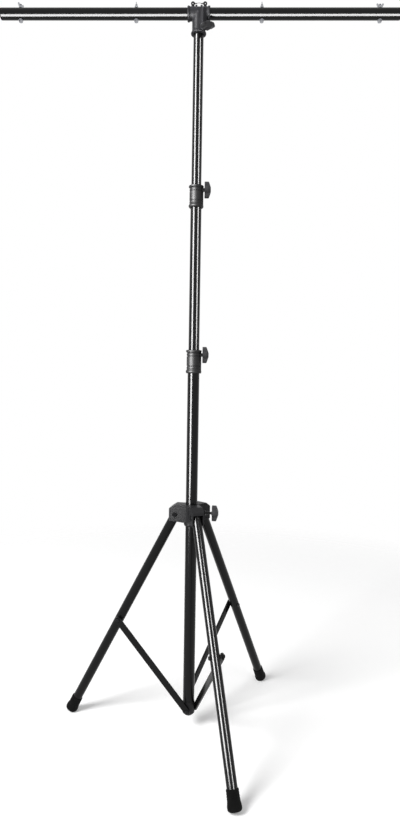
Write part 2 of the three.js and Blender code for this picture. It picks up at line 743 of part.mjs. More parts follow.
function crossbarHalf(side) {
  const end = barStartX + barHalfLength;
  const radius = barDiameter / 2;
  const profile = [
    [radius - tubeWall, barStartX], [radius, barStartX], [radius, end], [radius - tubeWall, end],
    [radius - tubeWall, barStartX],
  ];
  const tube = turnedAlongX(profile, mastSides);
  const boltRadius = hangerBoltDiameter / 2 + fitGap;
  const through = (x) => rod(boltRadius, -barDiameter, barDiameter, holeSides).translate(x, 0, 0);
  const pinHole = rod(pinDiameter / 2 + fitGap, 0, barDiameter, holeSides).translate(pinOffset, 0, 0);
  const cuts = [...Object.values(hangerOffsets).map(through), pinHole].map(solid);
  const half = without(solid(tube), ...cuts);
  return side > 0 ? half : half.rotate([0, 0, 180]);
}

function endCap(side) {
  const face = barStartX + barHalfLength;
  const radius = barDiameter / 2;
  const spigot = radius - tubeWall - fitGap;
  const rimStart = face + fitGap;
  const rimEnd = rimStart + capRim;
  const profile = [
    [0, rimEnd], [radius - capEdge, rimEnd], [radius, rimEnd - capEdge], [radius, rimStart],
    [spigot, rimStart], [spigot, face - capDepth], [spigot - capWall, face - capDepth],
    [spigot - capWall, face], [0, face],
  ];
  const cap = solid(turnedAlongX(profile, mastSides));
  return side > 0 ? cap : cap.rotate([0, 0, 180]);
}

// Hanger bolt: hexagon head and washer under the bar, shank up through it
function hangerBolt() {
  const washerTop = -barDiameter / 2 - fitGap;
  const headTop = washerTop - hangerWasherThickness;
  const headRadius = hangerHeadFlats / Math.sqrt(3);
  const head = new THREE.CylinderGeometry(headRadius, headRadius, hangerHeadHeight + fitGap, 6);
  head.rotateX(Math.PI / 2).translate(0, 0, headTop - (hangerHeadHeight - fitGap) / 2);
  const shankTop = barDiameter / 2 + hangerBoltStandOut;
  return joined(
    solid(head), solid(rod(hangerWasherDiameter / 2, headTop, washerTop, boltSides)),
    solid(rod(hangerBoltDiameter / 2, headTop, shankTop, boltSides)),
  );
}

function wingNut() {
  const base = barDiameter / 2 + fitGap;
  const hub = [
    [0, base], [wingNutBaseDiameter / 2, base], [wingNutTopDiameter / 2, base + wingNutHubHeight],
    [0, base + wingNutHubHeight],
  ];
  const tip = wingNutSpan / 2 - wingNutLobeRadius;
  const lobeZ = base + wingNutHeight - wingNutLobeRadius;
  const wing = (side) => {
    const root = new THREE.Vector2(side * wingNutTopDiameter / 2, base + wingNutLobeRadius);
    return plate(slotOutline(root, new THREE.Vector2(side * tip, lobeZ), wingNutLobeRadius),
      -wingNutBlade / 2, wingNutBlade / 2, arcSides);
  };
  const boreRadius = hangerBoltDiameter / 2 + fitGap;
  const bore = rod(boreRadius, base - cutOverrun, base + wingNutHeight + cutOverrun, holeSides);
  const nut = joined(solid(turned(hub, boltSides)), solid(wing(1)), solid(wing(-1)));
  return without(nut, solid(bore));
}

// Lock pin: a shank through the sleeve and the top wall of the bar, and a ring to pull it by
function lockPin() {
  const tip = barDiameter / 2 - pinBelowBarTop;
  const shank = rod(pinDiameter / 2, tip, pinRingAboveBar - pinRingRadius, boltSides);
  const eye = new THREE.TorusGeometry(pinRingRadius, pinRingWire, wireSides, ringSides);
  eye.rotateX(Math.PI / 2).translate(0, 0, pinRingAboveBar);
  return joined(solid(shank), solid(eye));
}

function tether() {
  const loopX = pinOffset - pinRingRadius;
  const crimpX = loopX - tetherLoopRadius;
  const reach = crimpX - tetherCrimpLength / 2;
  const span = [
    new THREE.Vector3(-reach, 0, 0), new THREE.Vector3(0, 0, tetherBow), new THREE.Vector3(reach, 0, 0),
  ];
  const section = new THREE.Shape();
  section.absarc(0, 0, tetherDiameter / 2, 0, 2 * Math.PI, false);
  const extrudePath = new THREE.CatmullRomCurve3(span);
  const settings = { steps: tetherSteps, extrudePath, curveSegments: wireSides / 2 };
  const wire = new THREE.ExtrudeGeometry(section, settings);
  const ends = [-1, 1].flatMap((side) => {
    const loop = new THREE.TorusGeometry(tetherLoopRadius, tetherDiameter / 2, wireSides, ringSides);
    const crimp = rod(tetherCrimpDiameter / 2, -tetherCrimpLength / 2, tetherCrimpLength / 2, boltSides);
    return [loop.translate(side * loopX, 0, 0), crimp.rotateY(Math.PI / 2).translate(side * reach, 0, 0)];
  });
  return joined(solid(wire), ...ends.map(solid)).translate([0, 0, pinRingAboveBar]);
}

function headAssembly() {
  const group = new THREE.Group();
  group.add(
    named('t_fitting', headFitting(), moulding()),
    named('crossbar_right', crossbarHalf(1), glossBlack()),
    named('crossbar_left', crossbarHalf(-1), glossBlack()),
    named('end_cap_right', endCap(1), knobPlastic()),
    named('end_cap_left', endCap(-1), knobPlastic()),
    named('pin_tether', tether(), blackSteel()),
  );
  for (const [side, sign] of [['left', -1], ['right', 1]]) {
    const pin = named(`lock_pin_${side}`, lockPin(), blackSteel());
    pin.position.x = sign * pinOffset;
    group.add(pin);
    for (const [place, offset] of Object.entries(hangerOffsets)) {
      const bolt = named(`hanger_bolt_${side}_${place}`, hangerBolt(), zinc());
      const nut = named(`wing_nut_${side}_${place}`, wingNut(), zinc());
      bolt.position.x = sign * offset;
      nut.position.x = sign * offset;
      nut.rotation.z = radians(wingNutRolls[`${side}_${place}`]);
      group.add(bolt, nut);
    }
  }
  group.position.z = barAxisZ;
  group.rotation.z = radians(headTurn);
  return group;
}

// The whole stand
const lowerScrewZ = lowerCollarTopZ - lowerCollarScrewDrop;
const upperScrewZ = upperCollarTopZ - upperCollarScrewDrop;
const collarKnobStandOff = collarBossStep + knobNeckLength + fitGap;
const stand = new THREE.Group();
stand.add(
  mainTube(),
  baseHub(),
  clampCollar('lower_collar', {
    diameter: lowerCollarDiameter,
    height: lowerCollarHeight,
    topZ: lowerCollarTopZ,
    screwZ: lowerScrewZ,
    outerTube: mainTubeDiameter,
    innerTube: middleTubeDiameter,
  }),
  slidingTube('middle_tube', middleTubeDiameter, middleTubeLength, middleTubeTopZ),
  guidePlug('middle_guide', middleTubeDiameter, middleTubeTopZ - middleTubeLength),
  clampCollar('upper_collar', {
    diameter: upperCollarDiameter,
    height: upperCollarHeight,
    topZ: upperCollarTopZ,
    screwZ: upperScrewZ,
    outerTube: middleTubeDiameter,
    innerTube: topTubeDiameter,
  }),
  slidingTube('top_tube', topTubeDiameter, topTubeLength, topTubeTopZ),
  guidePlug('top_guide', topTubeDiameter, topTubeTopZ - topTubeLength),
  legHousing(),
  headAssembly(),
);
for (const [side, azimuth] of Object.entries(legAzimuths)) stand.add(legAssembly(side, azimuth));
stand.add(
  clampKnob('housing', {
    azimuth: 0,
    z: pivotZ + housingKnobAbovePivot,
    tipRadius: mainBoreRadius,
    faceRadius: housingKnobReach,
    roll: 0,
  }),
  clampKnob('lower_collar', {
    azimuth: collarKnobAzimuth,
    z: lowerScrewZ,
    tipRadius: middleTubeDiameter / 2 + fitGap,
    faceRadius: lowerCollarDiameter / 2 + collarKnobStandOff,
    roll: 0,
  }),
  clampKnob('upper_collar', {
    azimuth: collarKnobAzimuth,
    z: upperScrewZ,
    tipRadius: topTubeDiameter / 2 + fitGap,
    faceRadius: upperCollarDiameter / 2 + collarKnobStandOff,
    roll: 0,
  }),
  clampKnob('head', {
    azimuth: headKnobAzimuth,
    z: headRimZ + headScrewAboveRim,
    tipRadius: topTubeDiameter / 2 + fitGap,
    faceRadius: headKnobReach,
    roll: headKnobRoll,
  }),
);

export default stand;
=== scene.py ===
"""Looks of the lighting stand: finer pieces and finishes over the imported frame.

Metres, +Z up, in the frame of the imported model: the mast stands on the Z axis, the feet on z = 0.
"""

import math

import bpy
from bpy.props import FloatProperty, FloatVectorProperty, IntProperty, PointerProperty
from bpy.types import Operator, Panel, PropertyGroup
from mathutils import Matrix, Vector


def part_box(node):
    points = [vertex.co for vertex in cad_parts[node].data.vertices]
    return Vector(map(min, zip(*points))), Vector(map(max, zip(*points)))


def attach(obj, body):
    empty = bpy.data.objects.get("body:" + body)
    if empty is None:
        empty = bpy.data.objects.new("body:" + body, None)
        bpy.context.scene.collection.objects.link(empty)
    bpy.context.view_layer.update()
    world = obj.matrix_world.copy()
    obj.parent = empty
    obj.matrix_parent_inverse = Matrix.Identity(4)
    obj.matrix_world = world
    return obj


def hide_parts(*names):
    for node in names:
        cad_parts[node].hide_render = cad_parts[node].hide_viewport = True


bl_info = {
    "name": "Lighting stand",
    "version": (1, 0, 0),
    "blender": (4, 5, 0),
    "location": "View3D > Sidebar > Stand",
    "description": "Finer pieces, finishes, lights and a camera for the packed lighting stand",
    "category": "Object",
}

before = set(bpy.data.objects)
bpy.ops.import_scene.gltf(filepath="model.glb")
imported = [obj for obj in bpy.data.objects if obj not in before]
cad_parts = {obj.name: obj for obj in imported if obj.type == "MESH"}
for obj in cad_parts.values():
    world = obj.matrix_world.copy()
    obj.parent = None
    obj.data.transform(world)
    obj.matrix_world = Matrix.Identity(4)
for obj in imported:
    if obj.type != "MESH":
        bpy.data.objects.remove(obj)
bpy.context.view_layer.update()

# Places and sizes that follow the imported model. Turns are in degrees.

LEGS = {"left": 180, "back": 60, "front": -60}
SPREAD = math.radians(27.2)  # of a leg, from upright
LEG_RADIUS, LEG_CLEAR = 0.0143, 0.0146  # of the leg tube, and of what sits against it
LEG_LENGTH = 0.74  # from the pivot to the end of the foot
BRACE_DOWN = 0.3836  # from the pivot down the leg to the brace's upper bolt
HUB_BOLT_Z = 0.058
PIVOT_TO_SCREW = 0.007  # the housing's clamp screw is that much higher than the leg pivots
KNOBS = {"housing": (0, 0), "lower_collar": (10, 0), "upper_collar": (10, 0), "head": (-37, 108)}
HEAD_TURN = 9.7
HANGERS = {"left_outer": -0.515, "left_inner": -0.18, "right_inner": 0.18, "right_outer": 0.515}
WING_ROLLS = {"left_outer": 60, "left_inner": 95, "right_inner": 85, "right_outer": 0}
PIN_X = 0.0175  # each lock pin's place along the bar, from the mast
GAP = 0.0003  # between pieces that slide or turn on each other
COLLAR_FLANGE = 0.0022  # the collar's flanges stand that much proud of its body
M8_HOLE, M6_HOLE, PIN_HOLE = 0.0043, 0.0033, 0.00305  # radii


def low(node):
    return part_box(node)[0]


def high(node):
    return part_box(node)[1]


def half_width(node):
    return (high(node).x - low(node).x) / 2


def middle_z(node):
    return (low(node).z + high(node).z) / 2


# Placing

def turn_x(degrees):
    return Matrix.Rotation(math.radians(degrees), 4, "X")


def turn_z(degrees):
    return Matrix.Rotation(math.radians(degrees), 4, "Z")


def move(x=0.0, y=0.0, z=0.0):
    return Matrix.Translation((x, y, z))


def along_x():
    """Takes a piece drawn up the Z axis and lays it along +X."""
    return Matrix.Rotation(math.pi / 2, 4, "Y")


def along_y():
    """Takes a piece drawn up the Z axis and lays it along +Y."""
    return turn_x(-90)


# Modelling

def deselect():
    if bpy.context.object and bpy.context.object.mode != "OBJECT":
        bpy.ops.object.mode_set(mode="OBJECT")
    bpy.ops.object.select_all(action="DESELECT")


def pick(piece):
    deselect()
    piece.select_set(True)
    bpy.context.view_layer.objects.active = piece


def edit_whole(piece):
    """Opens a piece in edit mode with all of it selected."""
    pick(piece)
    bpy.ops.object.mode_set(mode="EDIT")
    bpy.ops.mesh.select_all(action="SELECT")


def discard(*pieces):
    for piece in pieces:
        bpy.data.objects.remove(piece, do_unlink=True)


def loop_of(points):
    """A closed loop of edges through the points, from a circle whose corners are moved to them."""
    deselect()
    bpy.ops.mesh.primitive_circle_add(vertices=len(points), radius=0.01)
    piece = bpy.context.object
    for vertex, point in zip(piece.data.vertices, points):
        vertex.co = point
    return piece


def tidy_faces(piece):
    """Merges doubled points, drops loose ones and turns every face outwards."""
    edit_whole(piece)
    bpy.ops.mesh.remove_doubles(threshold=0.000004)
    bpy.ops.mesh.delete_loose(use_verts=True, use_edges=True, use_faces=False)
    bpy.ops.mesh.select_all(action="SELECT")
    bpy.ops.mesh.normals_make_consistent(inside=False)
    bpy.ops.object.mode_set(mode="OBJECT")
    return piece


def rounded(corners, steps):
    """The corners, each (x, z) or (x, z, radius), with every radius drawn as a short arc."""
    points = []
    count = len(corners)
    for i, corner in enumerate(corners):
        here = Vector(corner[:2])
        radius = corner[2] if len(corner) > 2 else 0
        if not radius:
            points.append(here)
            continue
        before = Vector(corners[i - 1][:2]) - here
        after = Vector(corners[(i + 1) % count][:2]) - here
        half = before.angle(after) / 2
        reach = min(radius / math.tan(half), before.length / 2, after.length / 2)
        start, end = here + before.normalized() * reach, here + after.normalized() * reach
        for step in range(steps + 1):
            t = step / steps
            points.append((1 - t) ** 2 * start + 2 * t * (1 - t) * here + t * t * end)
    return points


def turned(profile, steps=64, arc=3):
    """A closed profile of (radius, height, corner radius) spun about the Z axis."""
    piece = loop_of([(x, 0, z) for x, z in rounded(profile, arc)])
    edit_whole(piece)
    bpy.ops.mesh.spin(steps=steps, angle=math.tau, center=(0, 0, 0), axis=(0, 0, 1))
    bpy.ops.object.mode_set(mode="OBJECT")
    return tidy_faces(piece)


def plate(outline, near, far, bevel=0.0):
    """An outline of (x, z, corner radius), drawn out from one place along Y to another."""
    piece = loop_of([(x, near, z) for x, z in rounded(outline, 4)])
    edit_whole(piece)
    bpy.ops.mesh.edge_face_add()
    bpy.ops.mesh.extrude_region_move(TRANSFORM_OT_translate={"value": (0, far - near, 0)})
    bpy.ops.object.mode_set(mode="OBJECT")
    return eased(tidy_faces(piece), bevel)


def slot_outline(start, end, radius, arc=10):
    """A bar with round ends about two points (x, z)."""
    start, end = Vector(start), Vector(end)
    heading = math.atan2(end.y - start.y, end.x - start.x)
    points = []
    for centre, first in ((end, heading - math.pi / 2), (start, heading + math.pi / 2)):
        for i in range(arc + 1):
            angle = first + math.pi * i / arc
            points.append((centre.x + radius * math.cos(angle),
                           centre.y + radius * math.sin(angle)))
    return points


def block(low_corner, high_corner, bevel=0.0):
    low_corner, high_corner = Vector(low_corner), Vector(high_corner)
    deselect()
    bpy.ops.mesh.primitive_cube_add(
        size=1, location=(low_corner + high_corner) / 2, scale=high_corner - low_corner)
    return eased(settled(bpy.context.object), bevel)


def hexagon(flats, height, chamfer):
    """A hexagon bar standing on the origin, its upper corners eased by a cone."""
    corner, past = flats / math.sqrt(3), 0.001
    deselect()
    bpy.ops.mesh.primitive_cylinder_add(
        vertices=6, radius=corner, depth=height, location=(0, 0, height / 2))
    piece = settled(bpy.context.object)
    tip = height + chamfer * 0.2
    cone = turned([(0, -past), (corner + past, -past), (corner + past, height - chamfer),
                   (corner - chamfer * 1.6, tip), (0, tip)], 36)
    return combine(piece, "INTERSECT", cone)


def settled(piece):
    """Puts a piece's place into its mesh, so that its object sits at the origin."""
    bpy.context.view_layer.update()
    piece.data.transform(piece.matrix_world)
    piece.matrix_world = Matrix.Identity(4)
    return piece


def moved(piece, matrix):
    piece.data.transform(matrix)
    if matrix.determinant() < 0:
        piece.data.flip_normals()
    return piece


def copied(piece, matrix):
    twin = piece.copy()
    twin.data = piece.data.copy()
    bpy.context.scene.collection.objects.link(twin)
    return moved(twin, matrix)


def apply_modifier(piece, kind, **settings):
    pick(piece)
    modifier = piece.modifiers.new(kind.title(), kind)
    for key, value in settings.items():
        setattr(modifier, key, value)
    bpy.ops.object.modifier_apply(modifier=modifier.name)
    return piece


def eased(piece, width):
    """Bevels the sharp edges of a piece, where a width is given."""
    if width:
        apply_modifier(piece, "BEVEL", width=width, segments=2, limit_method="ANGLE",
                       angle_limit=math.radians(40))
    return piece


def combine(piece, operation, *others):
    for other in others:
        apply_modifier(piece, "BOOLEAN", operation=operation, object=other, solver="EXACT")
        discard(other)
    return piece


def joined(piece, *others):
    return combine(piece, "UNION", *others)


def cut(piece, *others):
    return combine(piece, "DIFFERENCE", *others)


def moulded(piece, voxel, keep, rounds):
    """Melts the seams of joined shapes into small fillets, and thins the mesh again."""
    apply_modifier(piece, "REMESH", mode="VOXEL", voxel_size=voxel, adaptivity=0.0)
    apply_modifier(piece, "SMOOTH", factor=0.5, iterations=rounds)
    apply_modifier(piece, "DECIMATE", ratio=keep)
    return piece


def rod(radius, low_z, high_z, steps=32, chamfer=0.0):
    return turned([(0, low_z), (radius, low_z, chamfer), (radius, high_z, chamfer), (0, high_z)],
                  steps, 2)


def thread_profile(radius, pitch, low_z, high_z):
    """Ridges up the outside of a screw, from one height to another."""
    count = max(1, int((high_z - low_z) / pitch))
    pitch = (high_z - low_z) / count
    points = []
    for i in range(count):
        foot = low_z + i * pitch
        points += [(radius - pitch * 0.5, foot + pitch * 0.08), (radius, foot + pitch * 0.45),
                   (radius, foot + pitch * 0.6)]
    return points


# Finishes. "far" and "lift" make the second colour of the mottling out of the first. Scratches
# give the scale, the share of the noise left clear, the roughness, and factor and lift of a colour.

FINISHES = {
    "gloss_black": {
        "name": "gloss_black_paint", "slot": "glossy black steel tube", "colour": "tube",
        "far": (1.4,) * 3, "lift": 0.0005, "mottle": 9.0, "roughness": (0.155, 0.17),
        "grain": 240.0, "bump": (0.01, 0.00001), "specular": 0.15,
        "scratches": ((190, 190, 16), 0.8, 0.28)},
    "grey_moulding": {
        "name": "grained_grey_moulding", "slot": "dark grey moulding", "colour": "moulding",
        "far": (1.25,) * 3, "mottle": 60.0, "roughness": (0.3, 0.36),
        "grain": 2200.0, "bump": (0.1, 0.00003), "specular": 0.045},
    "head_moulding": {
        "name": "grained_head_moulding", "slot": "dark grey moulding", "colour": "head",
        "far": (1.2,) * 3, "mottle": 60.0, "roughness": (0.38, 0.44),
        "grain": 2200.0, "bump": (0.1, 0.00003), "specular": 0.036},
    "black_moulding": {
        "name": "satin_black_moulding", "slot": "dark grey moulding", "colour": "collar",
        "far": (1.3,) * 3, "mottle": 60.0, "roughness": (0.46, 0.52),
        "grain": 1200.0, "bump": (0.03, 0.00001), "specular": 0.2},
    "knob": {
        "name": "satin_knob_plastic", "slot": "knob plastic", "colour": "knob",
        "far": (1.3,) * 3, "mottle": 90.0, "roughness": (0.36, 0.5),
        "grain": 2200.0, "bump": (0.08, 0.00003), "specular": 0.075},
    "cap": {
        "name": "black_cap_plastic", "slot": "knob plastic", "colour": "collar",
        "far": (1.3,) * 3, "mottle": 90.0, "roughness": (0.36, 0.46),
        "grain": 2200.0, "bump": (0.08, 0.00003), "specular": 0.1},
    "rubber": {
        "name": "black_foot_rubber", "slot": "rubber", "colour": "rubber",
        "far": (1.6,) * 3, "lift": 0.001, "mottle": 45.0, "roughness": (0.6, 0.8),
        "grain": 1500.0, "bump": (0.25, 0.00015), "specular": 0.08,
        "scratches": ((220, 220, 220), 0.68, 0.95, 2.5, 0.003)},
    "zinc": {
        "name": "bright_zinc_plate", "slot": "zinc", "colour": "zinc", "metallic": 1.0,
        "far": (0.82, 0.84, 0.9), "mottle": 260.0, "roughness": (0.2, 0.36),
        "grain": 1400.0, "bump": (0.12, 0.00008), "specular": 0.5,
        "scratches": ((900, 900, 140), 0.66, 0.5)},
    "dull_zinc": {
        "name": "dulled_zinc_plate", "slot": "zinc", "colour": "zinc", "metallic": 0.8,
        "dim": 0.12, "far": (0.6,) * 3, "mottle": 260.0, "roughness": (0.4, 0.6),
        "grain": 1400.0, "bump": (0.12, 0.00008), "specular": 0.5,
        "scratches": ((900, 900, 140), 0.64, 0.7)},
    "black_steel": {
        "name": "blackened_steel", "slot": "black steel", "colour": "steel",
        "far": (1.6,) * 3, "mottle": 160.0, "roughness": (0.3, 0.42),
        "grain": 1600.0, "bump": (0.08, 0.00004), "specular": 0.15},
}


def kit(tree):
    """Short ways to add a node with its values, and to link two nodes."""
    def add(kind, **values):
        node = tree.nodes.new(kind)
        for key, value in values.items():
            if key in node.inputs:
                node.inputs[key].default_value = value
            else:
                setattr(node, key, value)
        return node

    def link(source, output, target, socket):
        tree.links.new(source.outputs[output], target.inputs[socket])
    return add, link


def finished(look):
    """A finish whose colour, roughness and surface wander with noise read in the frame's metres."""
    material = bpy.data.materials.new(look["name"])
    material.use_nodes = True
    tree = material.node_tree
    add, link = kit(tree)
    shader = tree.nodes["Principled BSDF"]
    shader.inputs["Metallic"].default_value = look.get("metallic", 0.0)
    shader.inputs["Specular IOR Level"].default_value = look["specular"]
    dim, lift = look.get("dim", 1), look.get("lift", 0)
    base = [c * dim for c in getattr(bpy.context.scene.stand_finishes, look["colour"])]
    far = [c * factor + lift for c, factor in zip(base, look["far"])]
    place = add("ShaderNodeTexCoord")
    wide = add("ShaderNodeTexNoise", Scale=look["mottle"], Detail=4.0, Roughness=0.6)
    fine = add("ShaderNodeTexNoise", Scale=look["grain"], Detail=3.0, Roughness=0.55)
    spread = add("ShaderNodeMapRange", **{"From Min": 0.3, "From Max": 0.7})
    tint = add("ShaderNodeMixRGB", Color1=(*base, 1), Color2=(*far, 1))
    rough = add("ShaderNodeMapRange", **dict(zip(("To Min", "To Max"), look["roughness"])))
    relief = add("ShaderNodeBump", **dict(zip(("Strength", "Distance"), look["bump"])))
    link(place, "Object", wide, "Vector")
    link(place, "Object", fine, "Vector")
    link(wide, "Fac", spread, "Value")
    link(spread, "Result", tint, "Fac")
    link(tint, "Color", shader, "Base Color")
    link(fine, "Fac", rough, "Value")
    link(rough, "Result", shader, "Roughness")
    link(fine, "Fac", relief, "Height")
    link(relief, "Normal", shader, "Normal")
    if "scratches" in look:
        scratch(shader, place, add, link, base, *look["scratches"])
    return material


def scratch(shader, place, add, link, base, scale, share, roughness, factor=None, lift=0):
    """Fine random scratches over a finish: narrow streaks that are duller, or of another colour."""
    warp = add("ShaderNodeMapping", Scale=scale, Rotation=(0.4, 0.3, 0.9))
    noise = add("ShaderNodeTexNoise", Scale=1.0, Detail=2.0)
    mask = add("ShaderNodeMapRange", **{"From Min": share, "From Max": share + 0.04})
    link(place, "Object", warp, "Vector")
    link(warp, "Vector", noise, "Vector")
    link(noise, "Fac", mask, "Value")
    values = {"Roughness": (roughness,) * 3}
    if factor:
        values["Base Color"] = [c * factor + lift for c in base]
    for socket, value in values.items():
        before = shader.inputs[socket].links[0]
        mix = add("ShaderNodeMixRGB", Color2=(*value, 1))
        link(before.from_node, before.from_socket.name, mix, "Color1")
        link(mask, "Result", mix, "Fac")
        link(mix, "Color", shader, socket)


materials = {}


def material_of(finish):
    if finish not in materials:
        materials[finish] = finished(FINISHES[finish])
    return materials[finish]


def wear(piece, finish):
    piece.data.materials.clear()
    piece.data.materials.append(material_of(finish))


def shown(piece, node, body, finish, angle=32):
    """Names a finished piece, gives it its finish, and seats it on its body for its CAD node."""
    piece.name = piece.data.name = f"{node}_look"
    pick(piece)
    bpy.ops.object.shade_smooth_by_angle(angle=math.radians(angle))
    apply_modifier(piece, "WEIGHTED_NORMAL", keep_sharp=True)
    wear(piece, finish)
    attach(piece, body)
    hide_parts(node)


# Sizes and colours

def colour(name, description, default):
    return FloatVectorProperty(name=name, description=description, subtype="COLOR", min=0, max=1,
                               default=default)


class StandFinishes(PropertyGroup):
    """Colours of the stand's finishes."""
    tube: colour("Tubes", "Paint of the tubes", (0.004, 0.004, 0.0042))
    moulding: colour("Leg housing", "Moulding of the leg housing", (0.02, 0.02, 0.021))
    head: colour("T fitting", "Moulding of the T fitting", (0.03, 0.03, 0.033))
    collar: colour("Black mouldings", "Collars, base hub and end caps", (0.007, 0.007, 0.0075))
    knob: colour("Knobs", "Clamp knobs", (0.042, 0.042, 0.044))
    rubber: colour("Feet", "Rubber of the feet", (0.003, 0.003, 0.003))
    zinc: colour("Zinc", "Plating of the bolts and wing nuts", (0.42, 0.424, 0.435))
    steel: colour("Black steel", "Lock pins and brace bolts", (0.009, 0.009, 0.01))


class StandSizes(PropertyGroup):
    """Sizes of the finer details."""
    wall: FloatProperty(name="Tube wall", description="Wall of every tube", unit="LENGTH",
                        default=0.0012)
    rim: FloatProperty(name="Tube rim", description="Rounding of the cut ends of the tubes",
                       unit="LENGTH", default=0.0003)
    tube_steps: IntProperty(name="Tube steps", description="Facets round a tube", min=24, max=128,
                            default=80)
    thread: FloatProperty(name="Thread pitch", description="Pitch of the clamp studs",
                          unit="LENGTH", default=0.00125)


def sizes():
    return bpy.context.scene.stand_sizes


# Pieces

class StandOperator(Operator):
    """Shared by the operators: each can be undone."""
    bl_options = {"REGISTER", "UNDO"}


def open_tube(outer, low_z, high_z):
    """A tube of an outer radius up the Z axis, with eased rims and an open bore."""
    inner, rim = outer - sizes().wall, sizes().rim
    return turned([(inner, low_z, rim), (outer, low_z, rim), (outer, high_z, rim),
                   (inner, high_z, rim)], sizes().tube_steps, 2)


class STAND_OT_mast_tubes(StandOperator):
    """The three tubes of the mast"""
    bl_idname = "stand.mast_tubes"
    bl_label = "Mast tubes"

    def execute(self, context):
        for node, body in (("main_tube", "column"), ("middle_tube", "middle_section"),
                           ("top_tube", "top_section")):
            tube = open_tube(half_width(node), low(node).z, high(node).z)
            shown(tube, node, body, "gloss_black")
        return {"FINISHED"}


class STAND_OT_guides(StandOperator):
    """The guide bushes inside the mast, which keep their shape and get their finish"""
    bl_idname = "stand.guides"
    bl_label = "Guide bushes"

    def execute(self, context):
        for node in ("middle_guide", "top_guide"):
            wear(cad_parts[node], "grey_moulding")
        return {"FINISHED"}


class STAND_OT_base_hub(StandOperator):
    """The hub under the main tube, with a flat behind each brace"""
    bl_idname = "stand.base_hub"
    bl_label = "Base hub"

    def execute(self, context):
        start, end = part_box("base_hub")
        radius, flat, bolt_depth = 0.0187, 0.0181, 0.0125
        top = low("main_tube").z - GAP
        spigot = half_width("main_tube") - sizes().wall - GAP
        hub = turned([
            (0, start.z + 0.003), (0.0075, start.z + 0.003, 0.001), (0.0095, start.z, 0.0008),
            (0.0117, start.z, 0.0012), (radius, start.z + 0.007, 0.003),
            (radius, top - 0.008, 0.004), (0.0178, top, 0.0006), (spigot, top, 0.0003),
            (spigot, end.z, 0.001), (0, end.z)], 96)
        for azimuth in LEGS.values():
            slab = block((-0.03, flat, start.z - 0.01), (0.03, 0.04, top + 0.001))
            bore = moved(rod(M6_HOLE, flat - bolt_depth, 0.03, 24), along_y())
            cut(hub, moved(slab, turn_z(azimuth)),
                moved(bore, turn_z(azimuth) @ move(z=HUB_BOLT_Z)))
        shown(hub, "base_hub", "column", "black_moulding")
        return {"FINISHED"}


def collar_profile(radius, bottom, top, outer_bore, inner_bore, step):
    """Half section of a collar: flared foot, ribs above and below the body, and a top flange."""
    flange, groove = radius + COLLAR_FLANGE, radius - 0.0012
    outside = (
        (radius, 0.004, 0.0006), (flange, 0.05, 0.0008), (flange, 0.10, 0.0008),
        (groove + 0.0003, 0.185, 0.0008), (radius, 0.205, 0.0005), (radius, 0.272, 0.0005),
        (groove, 0.285, 0.0004), (groove, 0.315, 0.0004), (radius, 0.33, 0.0006),
        (radius, 0.70, 0.0006), (groove, 0.715, 0.0004), (groove, 0.748, 0.0004),
        (radius, 0.762, 0.0005), (radius, 0.825, 0.0005), (groove, 0.84, 0.0004),
        (groove, 0.865, 0.0006), (flange, 0.915, 0.0008), (flange, 0.975, 0.0010))
    return [
        (outer_bore + 0.0006, bottom, 0.0004),
        *((x, bottom + (top - bottom) * share, corner) for x, share, corner in outside),
        (inner_bore + 0.0007, top, 0.0004), (inner_bore, top - 0.001), (inner_bore, step, 0.0003),
        (outer_bore, step, 0.0003), (outer_bore, bottom + 0.0008)]


class STAND_OT_collars(StandOperator):
    """The two clamp collars, each with its ribs and the column that holds its screw"""
    bl_idname = "stand.collars"
    bl_label = "Clamp collars"

    def execute(self, context):
        for node, body, outer, inner in (
                ("lower_collar", "column", "main_tube", "middle_tube"),
                ("upper_collar", "middle_section", "middle_tube", "top_tube")):
            start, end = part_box(node)
            radius = (end.y - start.y) / 2 - COLLAR_FLANGE
            outer_bore, inner_bore = half_width(outer) + GAP, half_width(inner) + GAP
            step = high(outer).z + GAP
            collar = turned(
                collar_profile(radius, start.z, end.z, outer_bore, inner_bore, step), 96)
            screw_z = middle_z(f"{node}_stud")
            screw = move(z=screw_z) @ along_x()
            face = radius + 0.0014
            boss = plate(slot_outline((0, start.z + 0.006), (0, screw_z), 0.006), -face,
                         -inner_bore - 0.001, 0.0008)
            ring = moved(rod(0.0072, inner_bore + 0.001, face + 0.0004, 40, 0.0006), screw)
            joined(collar, moved(boss, turn_z(90)), ring)
            core = turned([
                (0, start.z - 0.01), (outer_bore, start.z - 0.01), (outer_bore, step),
                (inner_bore, step), (inner_bore, end.z + 0.01), (0, end.z + 0.01)], 96)
            cut(collar, core, moved(rod(M8_HOLE, 0, 0.04, 32), screw))
            shown(moved(collar, turn_z(KNOBS[node][0])), node, body, "black_moulding")
        return {"FINISHED"}


